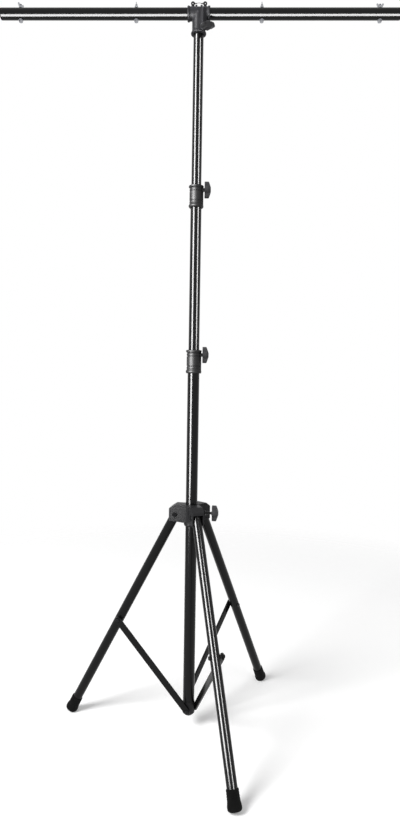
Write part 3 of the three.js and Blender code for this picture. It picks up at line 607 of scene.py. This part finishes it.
def knob_form():
    """A two-winged clamp knob, its screw along +X and its inner face at zero."""
    depth, tip_z = 0.0183, 0.0165
    side = [(0, -0.024, 0.0012), (0.012, -0.024, 0.0026), (depth, -0.006, 0.006),
            (depth, 0.006, 0.006), (0.012, 0.024, 0.0026), (0, 0.024, 0.0012)]
    wings = plate(slot_outline((0, -0.0175), (0, 0.0175), 0.0065, 14), -depth, 0.0002)
    moved(wings, turn_z(90))
    combine(wings, "INTERSECT", plate(side, -0.02, 0.02))
    hub = turned([(0, 0), (0.0115, 0, 0.001), (0.0115, 0.0105, 0.002), (0.0085, 0.0165, 0.003),
                  (0, 0.0185)], 64)
    neck = rod(0.0052, -0.003, 0.002, 40, 0.0005)
    joined(wings, moved(hub, along_x()), moved(neck, along_x()))
    for sign in (-1, 1):
        dish = turned([(0, 0), (0.0035, 0.0006, 0.001), (0.0045, 0.004), (0, 0.004)], 32)
        cut(wings, moved(dish, move(0.0135, 0, sign * tip_z) @ along_x()))
    moulded(wings, 0.0005, 0.3, 3)
    return cut(wings, moved(rod(M8_HOLE, -0.01, 0.0113, 32), along_x()))


def places_along(azimuth, node):
    """How far out along an azimuth each point of a CAD node lies."""
    heading = turn_z(-azimuth)
    return [(heading @ vertex.co).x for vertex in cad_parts[node].data.vertices]


class STAND_OT_knobs(StandOperator):
    """The four clamp knobs and their threaded studs"""
    bl_idname = "stand.knobs"
    bl_label = "Clamp knobs"

    def execute(self, context):
        form = knob_form()
        radius, neck, plain = 0.004, 0.003, 0.011
        for name, (azimuth, roll) in KNOBS.items():
            face = min(places_along(azimuth, f"{name}_knob")) + neck
            screw = places_along(azimuth, f"{name}_stud")
            tip, back = min(screw), max(screw)
            seat = turn_z(azimuth) @ move(z=middle_z(f"{name}_stud"))
            knob = copied(form, seat @ move(face) @ turn_x(roll))
            shown(knob, f"{name}_knob", f"{name}_clamp", "knob", 40)
            profile = [
                (0, tip), (0.0026, tip, 0.0004),
                *thread_profile(radius, sizes().thread, tip + 0.001, back - plain),
                (radius, back - plain), (radius, back), (0, back)]
            stud = moved(turned(profile, 32), seat @ along_x())
            shown(stud, f"{name}_stud", f"{name}_clamp",
                  "dull_zinc" if name == "housing" else "zinc")
        discard(form)
        return {"FINISHED"}


def pivot_place():
    """Radius and height of the leg pivots, from the bolt of the left leg."""
    start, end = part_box("leg_pin_left")
    return -(start.x + end.x) / 2, (start.z + end.z) / 2


class STAND_OT_leg_housing(StandOperator):
    """The moulded leg housing: a sleeve, three hollow lobes and the clamp's boss"""
    bl_idname = "stand.leg_housing"
    bl_label = "Leg housing"

    def execute(self, context):
        start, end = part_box("leg_housing")
        reach, pivot_z = pivot_place()
        top, bottom, half, wall = end.z, pivot_z - 0.021, 0.0185, 0.0033
        bore = half_width("main_tube") + GAP
        pivot, screw = move(reach, 0, pivot_z), move(z=pivot_z + PIVOT_TO_SCREW) @ along_x()
        housing = turned([
            (bore - 0.003, start.z), (0.0200, start.z, 0.0006), (0.0225, start.z + 0.005, 0.0015),
            (0.0225, top - 0.0006, 0.001), (bore - 0.003, top - 0.0006)], 96)
        boss = turned([(0, 0.019), (0.008, 0.019), (0.008, 0.044, 0.001), (0.0, 0.044)], 48)
        joined(housing, moved(boss, screw))
        outer = [(0.0125, bottom - 0.0025), (0.0225, bottom - 0.0025), (0.046, bottom, 0.004),
                 (0.066, bottom, 0.003), (0.066, top - 0.012, 0.006), (0.048, top, 0.006),
                 (0.0125, top)]
        inner = [(0.0228, bottom - 0.02), (0.063, bottom - 0.02), (0.063, top - 0.0133, 0.004),
                 (0.0472, top - 0.003, 0.004), (0.0228, top - 0.003)]
        panel = [(0.0275, bottom + 0.004, 0.002), (0.0615, bottom + 0.0045, 0.002),
                 (0.0615, top - 0.0145, 0.003), (0.0462, top - 0.0045, 0.003),
                 (0.0275, top - 0.0045, 0.002)]
        lobe = plate(outer, -half, half, 0.0012)
        for azimuth in LEGS.values():
            joined(housing, copied(lobe, turn_z(azimuth)))
        hollow = plate(inner, -half + wall, half - wall, 0.001)
        mouth = block((0.024, -half + wall, bottom - 0.02), (0.08, half - wall, pivot_z + 0.010))
        faces = [plate(panel, half - 0.0008, half + 0.01),
                 plate(panel, -half - 0.01, -half + 0.0008)]
        ring = turned([
            (0.0075, half - 0.0012), (0.0098, half - 0.0012), (0.0098, half - 0.0001, 0.0004),
            (0.0075, half - 0.0001, 0.0004)], 48)
        moved(ring, pivot @ along_y())
        mirror = Matrix.Scale(-1, 4, (0, 1, 0))
        for azimuth in LEGS.values():
            turn = turn_z(azimuth)
            cut(housing, *[copied(piece, turn) for piece in (hollow, mouth, *faces)])
            joined(housing, copied(ring, turn), copied(ring, turn @ mirror))
        pin = moved(rod(M8_HOLE, -0.03, 0.03, 32), pivot @ turn_x(90))
        cut(housing, *[copied(pin, turn_z(azimuth)) for azimuth in LEGS.values()])
        cut(housing, rod(bore, start.z - 0.01, top + 0.01, 96),
            moved(rod(M8_HOLE, 0.0, 0.06, 32), screw))
        discard(lobe, hollow, mouth, *faces, ring, pin)
        shown(housing, "leg_housing", "leg_collar", "grey_moulding", 40)
        return {"FINISHED"}


def upright_frame(azimuth, radius, height):
    """Where a fastener across a leg's plane stands: its Z axis points to the plane's left side."""
    return turn_z(azimuth) @ move(radius, 0, height) @ along_y()


class STAND_OT_leg_pins(StandOperator):
    """The pivot bolts of the legs, with their lock nuts"""
    bl_idname = "stand.leg_pins"
    bl_label = "Leg pivot bolts"

    def execute(self, context):
        face, shank = 0.018, 0.004
        bolt = turned([
            (0, -face - 0.0053), (0.0034, -face - 0.0053, 0.0004), (shank, -face - 0.0045),
            (shank, face, 0.0002), (0.0065, face, 0.0003), (0.0065, face + 0.0010, 0.0008),
            (0.0052, face + 0.0036, 0.0016), (0.0028, face + 0.0045, 0.0008),
            (0.0022, face + 0.0024, 0.0003), (0, face + 0.0024)], 48)
        nut = hexagon(0.013, 0.0036, 0.0006)
        crown = turned([
            (0, 0.003), (0.0056, 0.003, 0.0004), (0.0056, 0.005, 0.0006), (0.0044, 0.0049, 0.0002),
            (0.0044, 0.0045), (0, 0.0045)], 40)
        joined(nut, crown)
        cut(nut, rod(M8_HOLE, -0.01, 0.02, 32))
        moved(nut, move(z=-face) @ turn_x(180))
        for side, azimuth in LEGS.items():
            seat = upright_frame(azimuth, *pivot_place())
            shown(copied(bolt, seat), f"leg_pin_{side}", "leg_collar", "black_steel")
            shown(copied(nut, seat), f"leg_nut_{side}", "leg_collar", "dull_zinc")
        discard(bolt, nut)
        return {"FINISHED"}


def along_leg(azimuth):
    """From the pivot down the leg: a piece drawn up the Z axis runs down the leg from its pivot."""
    reach, height = pivot_place()
    down = Matrix.Rotation(math.pi - SPREAD, 4, "Y")
    return turn_z(azimuth) @ move(reach, 0, height) @ down


def brace_top():
    """Radius and height of the braces' upper bolts."""
    reach, height = pivot_place()
    return reach + BRACE_DOWN * math.sin(SPREAD), height - BRACE_DOWN * math.cos(SPREAD)


class STAND_OT_legs(StandOperator):
    """The three leg tubes, drilled for the pivot and for the brace"""
    bl_idname = "stand.legs"
    bl_label = "Legs"

    def execute(self, context):
        above_pivot, short_of_foot = 0.015, 0.0083
        leg = open_tube(LEG_RADIUS, -above_pivot, LEG_LENGTH - short_of_foot)
        for place, radius in ((0, M8_HOLE), (BRACE_DOWN, M6_HOLE)):
            cut(leg, moved(rod(radius, -0.03, 0.03, 32), move(z=place) @ turn_x(90)))
        for side, azimuth in LEGS.items():
            shown(copied(leg, along_leg(azimuth)), f"leg_tube_{side}", f"leg_{side}", "gloss_black")
        discard(leg)
        return {"FINISHED"}


class STAND_OT_feet(StandOperator):
    """The rubber feet, ribbed and worn flat where they stand"""
    bl_idname = "stand.feet"
    bl_label = "Rubber feet"

    def execute(self, context):
        start, end = LEG_LENGTH - 0.05, LEG_LENGTH
        radius, edge, groove_depth = 0.019, 0.007, 0.0006
        profile = [(LEG_CLEAR, start + 0.001), (0.0158, start, 0.0006),
                   (0.0168, start + 0.002, 0.0008)]
        for i in range(3):
            groove = start + 0.006 + 0.006 * i
            neck = 0.0168 + 0.0001 * i
            profile += [
                (neck, groove, 0.0005), (neck - groove_depth, groove + 0.0008, 0.0004),
                (neck - groove_depth, groove + 0.0022, 0.0004), (neck, groove + 0.003, 0.0005)]
        profile += [(0.017, start + 0.027, 0.002), (radius, start + 0.038, 0.002)]
        for i in range(7):
            angle = math.radians(15 * i)
            profile.append((radius - edge * (1 - math.cos(angle)),
                            end - edge * (1 - math.sin(angle))))
        profile += [(0.011, end, 0.0004), (0.0095, end - 0.0012, 0.0006), (0, end - 0.0012),
                    (0, end - 0.008), (LEG_CLEAR, end - 0.008, 0.0005)]
        foot = turned(profile, 72)
        for side, azimuth in LEGS.items():
            cap = copied(foot, along_leg(azimuth))
            cut(cap, block((-0.6, -0.6, -0.1), (0.6, 0.6, 0.0)))
            shown(cap, f"foot_cap_{side}", f"leg_{side}", "rubber")
        discard(foot)
        return {"FINISHED"}


class STAND_OT_braces(StandOperator):
    """The flat braces with their round ends, and their bolts and studs"""
    bl_idname = "stand.braces"
    bl_label = "Braces"

    def execute(self, context):
        low_end, high_end = (0, HUB_BOLT_Z), brace_top()
        start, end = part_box("brace_left")
        near, far = -end.y, -start.y
        bar = plate(slot_outline(low_end, high_end, 0.010, 16), near, far, 0.0022)
        for x, z in (low_end, high_end):
            place = move(x, 0, z) @ along_y()
            ring = turned([(0.0062, far - 0.0007), (0.0072, far - 0.0007, 0.0002),
                           (0.0072, far + 0.0006), (0.0062, far + 0.0006)], 40)
            cut(bar, moved(rod(M6_HOLE, near - 0.01, far + 0.01, 24), place), moved(ring, place))
        shank, rim, head = 0.003, 0.006, far + GAP
        dome = [(rim, head, 0.0002), (rim, head + 0.0009, 0.0006), (0.0045, head + 0.0030, 0.0014),
                (0.0022, head + 0.004, 0.0006), (0.0018, head + 0.0022, 0.0002),
                (0, head + 0.0022)]
        lower, upper = (turned([(0, foot), (shank, foot), (shank, head), *dome], 40)
                        for foot in (near - 0.0123, near + GAP))
        spacer_end = near - 0.0006
        stud = turned([
            (0, spacer_end), (shank, spacer_end), (rim, spacer_end, 0.0003),
            (rim, LEG_CLEAR, 0.0003), (shank, LEG_CLEAR), (shank, -LEG_CLEAR),
            (rim, -LEG_CLEAR, 0.0002), (rim, -LEG_CLEAR - 0.0018, 0.0008),
            (0.0042, -LEG_CLEAR - 0.0042, 0.0012), (0, -LEG_CLEAR - 0.0045)][::-1], 40)
        for side, azimuth in LEGS.items():
            hub_seat = upright_frame(azimuth, *low_end)
            leg_seat = upright_frame(azimuth, *high_end)
            for piece, seat, node, body, finish in (
                    (bar, turn_z(azimuth), "brace", f"brace_{side}", "gloss_black"),
                    (lower, hub_seat, "brace_lower_bolt", "column", "black_steel"),
                    (upper, leg_seat, "brace_upper_bolt", f"brace_{side}", "black_steel"),
                    (stud, leg_seat, "brace_stud", f"leg_{side}", "dull_zinc")):
                shown(copied(piece, seat), f"{node}_{side}", body, finish)
        discard(bar, lower, upper, stud)
        return {"FINISHED"}


# The head, drawn with the crossbar along X and its axis at height zero

def head_seat():
    return move(z=middle_z("crossbar_left")) @ turn_z(HEAD_TURN)


def bar_radius():
    return (high("crossbar_left").z - low("crossbar_left").z) / 2


class STAND_OT_t_fitting(StandOperator):
    """The moulded T fitting with its sleeves, flanges, screw column, lugs and pin guides"""
    bl_idname = "stand.t_fitting"
    bl_label = "T fitting"

    def execute(self, context):
        seat = head_seat()
        axis_z = seat.translation.z
        drop, half = axis_z - low("t_fitting").z, 0.0325
        bore = bar_radius() + GAP
        outer, rim = bore + 0.002, bore + 0.0042
        rib = [(rim - 0.001, half, 0.0009), (rim, half - 0.0012, 0.0008),
               (rim, half - 0.005, 0.0008), (rim - 0.001, half - 0.0062, 0.0008),
               (outer, half - 0.008, 0.0015)]
        lower_rib = [(x, -z, corner) for x, z, corner in rib]
        profile = [(0, -half)] + lower_rib + rib[::-1] + [(0, half)]
        sleeve = moved(turned(profile, 96), along_x())
        neck = 0.019
        upright = turned([
            (0, -drop), (0.0205, -drop, 0.0006), (0.022, -drop + 0.0016, 0.0008),
            (0.022, -drop + 0.0045, 0.001), (neck, -drop + 0.009, 0.002), (neck, 0), (0, 0)], 96)
        to_knob = turn_z(KNOBS["head"][0] - HEAD_TURN)
        screw_z = -drop + 0.011
        column = plate(slot_outline((0, 0), (0, screw_z), 0.008, 12), -0.027, 0, 0.001)
        joined(sleeve, upright, moved(column, to_knob @ turn_z(90)))
        for sign in (-1, 1):
            lug = block((sign * 0.0075 - 0.003, -0.006, 0),
                        (sign * 0.0075 + 0.003, 0.006, outer + 0.0044), 0.0008)
            guide = moved(rod(0.005, 0, outer + 0.0034, 40, 0.0006), move(sign * PIN_X))
            joined(sleeve, lug, guide)
        moulded(sleeve, 0.0006, 0.35, 3)
        stop, lip = 0.002, bore + 0.001
        for sign in (-1, 1):
            socket = moved(turned([
                (0, stop), (bore, stop), (bore, half - 0.001), (lip, half + 0.0001),
                (lip, half + 0.02), (0, half + 0.02)], 96), along_x())
            cut(sleeve, socket if sign > 0 else moved(socket, turn_z(180)))
            cut(sleeve, moved(rod(PIN_HOLE, 0, 0.05, 24), move(sign * PIN_X)))
        tube_bore = half_width("top_tube") + GAP
        cut(sleeve, rod(tube_bore, -drop - 0.02, high("top_tube").z - axis_z + GAP, 96),
            moved(rod(M8_HOLE, 0.0, 0.05, 32), to_knob @ move(z=screw_z) @ along_x()))
        shown(moved(sleeve, seat), "t_fitting", "t_head", "head_moulding", 40)
        return {"FINISHED"}


class STAND_OT_crossbar(StandOperator):
    """The drilled halves of the crossbar, and their end caps"""
    bl_idname = "stand.crossbar"
    bl_label = "Crossbar"

    def execute(self, context):
        seat = head_seat()
        radius, start, end = bar_radius(), 0.0023, 0.5703
        half = moved(open_tube(radius, start, end), along_x())
        for name in ("right_inner", "right_outer"):
            cut(half, moved(rod(M6_HOLE, -0.03, 0.03, 24), move(HANGERS[name])))
        cut(half, moved(rod(PIN_HOLE, 0, 0.03, 24), move(PIN_X)))
        spigot = radius - sizes().wall - GAP
        cap = moved(turned([
            (0, end + 0.0018), (radius - 0.003, end + 0.0018, 0.0004),
            (radius - 0.0023, end + 0.0027, 0.0003), (radius - 0.0004, end + 0.0027, 0.0012),
            (radius - 0.0002, end + GAP, 0.0002), (spigot, end + GAP),
            (spigot, end - 0.016, 0.0008), (spigot - 0.0025, end - 0.016),
            (spigot - 0.0025, end), (0, end)], 80), along_x())
        for side, way in (("right", 0), ("left", 180)):
            place = seat @ turn_z(way)
            shown(copied(half, place), f"crossbar_{side}", "t_head", "gloss_black")
            shown(copied(cap, place), f"end_cap_{side}", "t_head", "cap")
        discard(half, cap)
        return {"FINISHED"}


def wing_nut_form():
    """A wing nut standing on the bar, its wings along X."""
    base, thick = bar_radius() + GAP, 0.0011
    nut = turned([(0, base), (0.0058, base, 0.0005), (0.0057, base + 0.001),
                  (0.0045, base + 0.006, 0.0006), (0, base + 0.006)], 40)
    for sign in (-1, 1):
        root, tip = (sign * 0.0040, base + 0.0030), (sign * 0.0077, base + 0.0097)
        joined(nut, plate(slot_outline(root, tip, 0.0028, 12), -thick, thick))
    moulded(nut, 0.0003, 0.4, 2)
    return cut(nut, rod(M6_HOLE, base - 0.01, base + 0.02, 24))


class STAND_OT_hangers(StandOperator):
    """The hanger bolts under the bar and the wing nuts on top of it"""
    bl_idname = "stand.hangers"
    bl_label = "Hanger bolts"

    def execute(self, context):
        seat = head_seat()
        washer_top = -bar_radius() - GAP
        head_top = washer_top - 0.0016
        tip = high("hanger_bolt_left_outer").z - seat.translation.z
        bolt = moved(hexagon(0.010, 0.005, 0.0006), move(z=head_top) @ turn_x(180))
        washer = turned([(0, head_top - 0.0001), (0.007, head_top - 0.0001, 0.0003),
                         (0.007, washer_top, 0.0003), (0, washer_top)], 48)
        radius, pitch = 0.003, 0.001
        shank = turned([(0, head_top - 0.001), (radius, head_top - 0.001), (radius, 0.004),
                        *thread_profile(radius, pitch, 0.005, tip - 0.001),
                        (0.0024, tip - 0.0002, 0.0003), (0, tip)], 32)
        joined(bolt, washer, shank)
        nut = wing_nut_form()
        for name, x in HANGERS.items():
            place = seat @ move(x)
            shown(copied(bolt, place), f"hanger_bolt_{name}", "t_head", "zinc")
            shown(copied(nut, place @ turn_z(WING_ROLLS[name])), f"wing_nut_{name}",
                  f"wing_nut_{name}", "zinc", 40)
        discard(bolt, nut)
        return {"FINISHED"}


class STAND_OT_lock_pins(StandOperator):
    """The ring-headed lock pins and the wire that joins their rings"""
    bl_idname = "stand.lock_pins"
    bl_label = "Lock pins"

    def execute(self, context):
        seat = head_seat()
        ring_z, ring_radius, wire, stem_top = 0.029, 0.0038, 0.0021, 0.0258
        tip = low("lock_pin_left").z - seat.translation.z
        radius, flange, collar = 0.00275, 0.0046, bar_radius() + 0.0061
        pin = turned([
            (0, tip), (0.0015, tip, 0.0004), (radius, tip + 0.0025, 0.0004), (radius, collar),
            (flange, collar + 0.0001, 0.0004), (flange, collar + 0.0011, 0.0004),
            (0.0028, collar + 0.0023, 0.0004), (0.0026, stem_top, 0.0004), (0, stem_top)], 40)
        deselect()
        bpy.ops.mesh.primitive_torus_add(
            major_radius=ring_radius, minor_radius=wire, major_segments=40, minor_segments=16,
            location=(0, 0, ring_z), rotation=(math.pi / 2, 0, 0))
        joined(pin, settled(bpy.context.object))
        for side, sign in (("left", -1), ("right", 1)):
            shown(copied(pin, seat @ move(sign * PIN_X)), f"lock_pin_{side}", "lock_pins",
                  "black_steel", 40)
        discard(pin)
        wear(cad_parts["pin_tether"], "black_steel")
        return {"FINISHED"}


# Floor, backdrop, lights and camera. A lamp with pieces named shows only as a reflection in them.

LAMPS = (
    # name, place, aim, width and height, power, lean, pieces
    ("key", (-4.4, -5.2, 6.4), (0, 0, 0.4), (3.6, 3.6), 940, 0, ()),
    ("fill", (2.4, -1.8, 2.2), (0, 0, 1.0), (1.8, 1.8), 20, 0, ()),
    ("left strip", (-1.39, -2.06, 1.87), (0, 0, 1.87), (1.08, 3.45), 1050, 10,
     ("main_tube", "middle_tube", "top_tube", "lower_collar", "upper_collar", "leg_housing",
      "leg_tube_front", "t_fitting")),
    ("right strip", (2.07, -1.19, 2.35), (0, 0, 2.35), (0.64, 2.3), 400, 12,
     ("middle_tube", "top_tube")),
    ("bar card", (0.17, -1.0, 0.99), (0.17, 0, 2.12), (2.6, 0.96), 540, 0,
     ("crossbar_left", "crossbar_right", "t_fitting")),
    ("leg card", (1.75, -1.75, 1.1), (0.1, -0.2, 0.4), (0.45, 2.0), 230, 0, ("leg_tube_front",)),
)
CAMERA_PLACE = (0.3666, -1.7400, 1.0938)
CAMERA_HEADING, CAMERA_PITCH, CAMERA_ROLL = 101.22, 3.657, 0.909
CAMERA_LENS = 26.16


class STAND_OT_stage(StandOperator):
    """The floor, the white backdrop, the soft lamps and the camera"""
    bl_idname = "stand.stage"
    bl_label = "Stage"

    def execute(self, context):
        self.floor()
        self.backdrop(context)
        for lamp in LAMPS:
            self.lamp(*lamp)
        self.camera(context)
        context.scene.view_settings.view_transform = "Standard"
        return {"FINISHED"}

    def floor(self):
        """A pale disc that fades out at its edge, and is plain white in reflections."""
        deselect()
        bpy.ops.mesh.primitive_circle_add(vertices=96, radius=2.6, fill_type="NGON")
        disc = bpy.context.object
        disc.name = "floor"
        material = bpy.data.materials.new("floor")
        material.use_nodes = True
        material.node_tree.nodes.clear()
        add, link = kit(material.node_tree)
        diffuse = add("ShaderNodeBsdfDiffuse", Color=(0.86, 0.86, 0.86, 1))
        glow = add("ShaderNodeEmission", Strength=0.2)
        together = add("ShaderNodeAddShader")
        place = add("ShaderNodeTexCoord")
        length = add("ShaderNodeVectorMath", operation="LENGTH")
        fade = add("ShaderNodeMapRange", **{"From Min": 1.5, "From Max": 2.5})
        clear = add("ShaderNodeBsdfTransparent")
        blend = add("ShaderNodeMixShader")
        path = add("ShaderNodeLightPath")
        seen = add("ShaderNodeMath", operation="MAXIMUM")
        white = add("ShaderNodeEmission")
        final = add("ShaderNodeMixShader")
        output = add("ShaderNodeOutputMaterial")
        link(diffuse, 0, together, 0)
        link(glow, 0, together, 1)
        link(place, "Object", length, 0)
        link(length, "Value", fade, "Value")
        link(fade, "Result", blend, 0)
        link(together, 0, blend, 1)
        link(clear, 0, blend, 2)
        link(path, "Is Glossy Ray", seen, 0)
        link(path, "Is Transmission Ray", seen, 1)
        link(seen, 0, final, 0)
        link(blend, 0, final, 1)
        link(white, 0, final, 2)
        link(final, 0, output, "Surface")
        disc.data.materials.append(material)
        return disc

    def backdrop(self, context):
        """White where the camera, a reflection or glass sees it, and grey as a light."""
        world = bpy.data.worlds.new("white")
        context.scene.world = world
        world.use_nodes = True
        add, link = kit(world.node_tree)
        path = add("ShaderNodeLightPath")
        direct = add("ShaderNodeMath", operation="MAXIMUM")
        every = add("ShaderNodeMath", operation="MAXIMUM")
        shade = add("ShaderNodeMixRGB", Color1=(0.32, 0.32, 0.32, 1), Color2=(1, 1, 1, 1))
        link(path, "Is Camera Ray", direct, 0)
        link(path, "Is Transmission Ray", direct, 1)
        link(direct, 0, every, 0)
        link(path, "Is Glossy Ray", every, 1)
        link(every, 0, shade, "Fac")
        link(shade, "Color", world.node_tree.nodes["Background"], "Color")

    def lamp(self, name, place, aim, size, power, lean, pieces):
        deselect()
        bpy.ops.object.light_add(type="AREA", location=place)
        lamp = bpy.context.object
        lamp.name = name
        lamp.data.shape = "RECTANGLE"
        lamp.data.size, lamp.data.size_y = size
        lamp.data.energy = power
        turn = (Vector(aim) - Vector(place)).to_track_quat("-Z", "Y").to_matrix()
        turn = turn @ Matrix.Rotation(math.radians(lean), 3, "Z")
        lamp.rotation_euler = turn.to_euler()
        lamp.visible_camera = False
        lamp.visible_diffuse = not pieces
        lamp.visible_glossy = bool(pieces)
        if pieces:
            lit = bpy.data.collections.new(f"lit by the {name}")
            for piece in pieces:
                lit.objects.link(bpy.data.objects[f"{piece}_look"])
            lamp.light_linking.receiver_collection = lit

    def camera(self, context):
        deselect()
        bpy.ops.object.camera_add()
        camera = context.object
        heading, pitch, roll = map(math.radians, (CAMERA_HEADING, CAMERA_PITCH, CAMERA_ROLL))
        ahead = Vector((math.cos(heading) * math.cos(pitch), math.sin(heading) * math.cos(pitch),
                        -math.sin(pitch)))
        side = Vector((math.sin(heading), -math.cos(heading), 0))
        up = side.cross(ahead)
        across = side * math.cos(roll) + up * math.sin(roll)
        upward = up * math.cos(roll) - side * math.sin(roll)
        turn = Matrix((across, upward, -ahead)).transposed().to_4x4()
        camera.matrix_world = move(*CAMERA_PLACE) @ turn
        camera.data.lens = CAMERA_LENS
        context.scene.camera = camera


class STAND_PT_panel(Panel):
    """The stand's sizes, finishes and pieces"""
    bl_idname = "STAND_PT_panel"
    bl_label = "Lighting stand"
    bl_space_type = "VIEW_3D"
    bl_region_type = "UI"
    bl_category = "Stand"

    def draw(self, context):
        column = self.layout.column()
        for group in (context.scene.stand_sizes, context.scene.stand_finishes):
            for name in group.__annotations__:
                column.prop(group, name)
        for operator in PIECES:
            column.operator(operator.bl_idname)


PIECES = (
    STAND_OT_mast_tubes, STAND_OT_guides, STAND_OT_base_hub, STAND_OT_collars, STAND_OT_knobs,
    STAND_OT_leg_housing, STAND_OT_leg_pins, STAND_OT_legs, STAND_OT_feet, STAND_OT_braces,
    STAND_OT_t_fitting, STAND_OT_crossbar, STAND_OT_hangers, STAND_OT_lock_pins, STAND_OT_stage,
)
CLASSES = (StandFinishes, StandSizes, *PIECES, STAND_PT_panel)


def register():
    for kind in CLASSES:
        bpy.utils.register_class(kind)
    bpy.types.Scene.stand_finishes = PointerProperty(type=StandFinishes)
    bpy.types.Scene.stand_sizes = PointerProperty(type=StandSizes)


def unregister():
    del bpy.types.Scene.stand_sizes
    del bpy.types.Scene.stand_finishes
    for kind in reversed(CLASSES):
        bpy.utils.unregister_class(kind)


def main():
    register()
    for piece in PIECES:
        name = piece.bl_idname.split(".")[1]
        getattr(bpy.ops.stand, name)()


if __name__ == "__main__":
    main()
